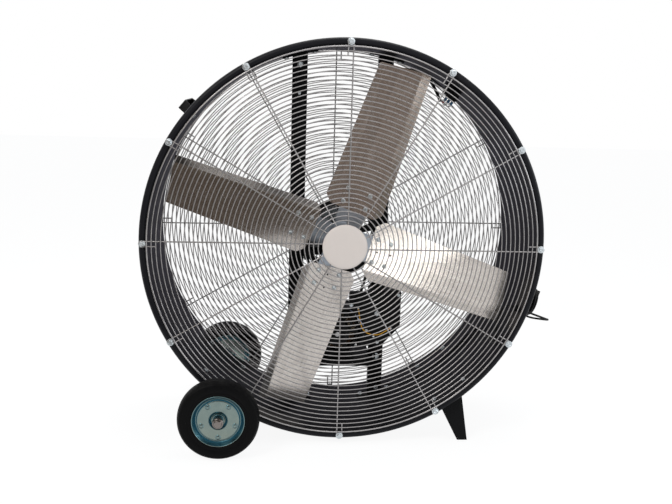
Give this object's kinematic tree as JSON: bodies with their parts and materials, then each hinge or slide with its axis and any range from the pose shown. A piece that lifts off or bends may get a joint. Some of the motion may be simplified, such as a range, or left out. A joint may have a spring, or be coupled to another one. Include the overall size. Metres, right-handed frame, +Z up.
{
  "type": "drum fan",
  "caption": "Large belt-driven drum fan: a short round duct with wire guards, pitched blades, motor and belt inside, on wheels and legs, with handle and coiled cord.",
  "frame": {"origin": "on the floor under the middle of the fan, cord left out", "axes": "+X to the right seen from the front, -Y the way the fan blows, +Z up"},
  "size_m": [1.3234, 0.748, 1.289],
  "materials": {
    "drum_black": "satin black coat",
    "frame_black": "matt black coat",
    "guard_wire": "bright zinc-plated wire",
    "centre_plate": "pale warm grey",
    "blade_aluminium": "mill finish, brushed lengthwise",
    "hub_zinc": "zinc plated",
    "wheel_zinc": "bright zinc, bluish",
    "fastener_zinc": "bright zinc",
    "tyre_black": "black rubber",
    "belt_black": "matt",
    "cord_black": "satin jacket",
    "shaft_steel": "ground",
    "motor_black": "satin black enamel",
    "winding_copper": "enamelled copper, satin",
    "box_plastic": "fine grain",
    "plug_plastic": "moulded"
  },
  "bodies": {
    "housing": {"drum_shell": "drum_black", "front_guard": "guard_wire", "rear_guard": "guard_wire", "front_guard_disc": "centre_plate", "guard_clip_01": "fastener_zinc", "guard_clip_02": "fastener_zinc", "guard_clip_03": "fastener_zinc", "guard_clip_04": "fastener_zinc", "guard_clip_05": "fastener_zinc", "guard_clip_06": "fastener_zinc", "guard_clip_07": "fastener_zinc", "guard_clip_08": "fastener_zinc", "guard_clip_09": "fastener_zinc", "guard_clip_10": "fastener_zinc", "guard_clip_11": "fastener_zinc", "guard_clip_12": "fastener_zinc", "left_rail": "frame_black", "right_rail": "frame_black", "bearing_bracket": "frame_black", "front_pillow_block": "motor_black", "rear_pillow_block": "motor_black", "motor_shelf": "frame_black", "motor_base": "frame_black", "motor_frame": "motor_black", "motor_front_end_bell": "motor_black", "motor_rear_end_bell": "motor_black", "motor_winding": "winding_copper", "wiring_box": "box_plastic", "drive_belt": "belt_black", "axle": "shaft_steel", "front_axle_cap": "fastener_zinc", "rear_axle_cap": "fastener_zinc", "front_axle_bracket": "frame_black", "rear_axle_bracket": "frame_black", "front_leg": "frame_black", "rear_leg": "frame_black", "handle": "frame_black", "switch_box": "box_plastic", "cord_gland": "box_plastic", "cord_hook": "frame_black", "motor_cable": "cord_black", "switch_cable": "cord_black", "power_cord_lead": "cord_black", "power_cord_coil": "cord_black", "power_cord_tail": "cord_black", "plug": "plug_plastic"},
    "fan_rotor": {"fan_shaft": "shaft_steel", "blade_hub": "hub_zinc", "blade_1": "blade_aluminium", "blade_2": "blade_aluminium", "blade_3": "blade_aluminium", "blade_4": "blade_aluminium", "fan_pulley": "motor_black"},
    "motor_rotor": {"motor_shaft": "shaft_steel", "motor_pulley": "motor_black"},
    "front_wheel": {"front_tyre": "tyre_black", "front_wheel_disc": "wheel_zinc"},
    "rear_wheel": {"rear_tyre": "tyre_black", "rear_wheel_disc": "wheel_zinc"},
    "switch_turn_knob": {"switch_knob": "box_plastic"}
  },
  "joints": [
    {"name": "fan_spin", "type": "hinge", "parent": "housing", "child": "fan_rotor", "pos_m": [-0.02095, 0, 0.654], "axis": [0, 1, 0], "continuous": true},
    {"name": "motor_spin", "type": "hinge", "parent": "housing", "child": "motor_rotor", "pos_m": [-0.02095, 0, 0.319], "axis": [0, 1, 0], "continuous": true},
    {"name": "front_wheel_roll", "type": "hinge", "parent": "housing", "child": "front_wheel", "pos_m": [-0.40495, -0.325, 0.127], "axis": [0, 1, 0], "continuous": true},
    {"name": "rear_wheel_roll", "type": "hinge", "parent": "housing", "child": "rear_wheel", "pos_m": [-0.40495, 0.325, 0.127], "axis": [0, 1, 0], "continuous": true},
    {"name": "knob_turn", "type": "hinge", "parent": "housing", "child": "switch_turn_knob", "pos_m": [0.34347, -0.02, 1.15559], "axis": [0.5878, 0, 0.809], "range_deg": [0, 90]}
  ],
  "couplings": [
    {"joint": "motor_spin", "follows": "fan_spin", "ratio": 3.4225}
  ]
}
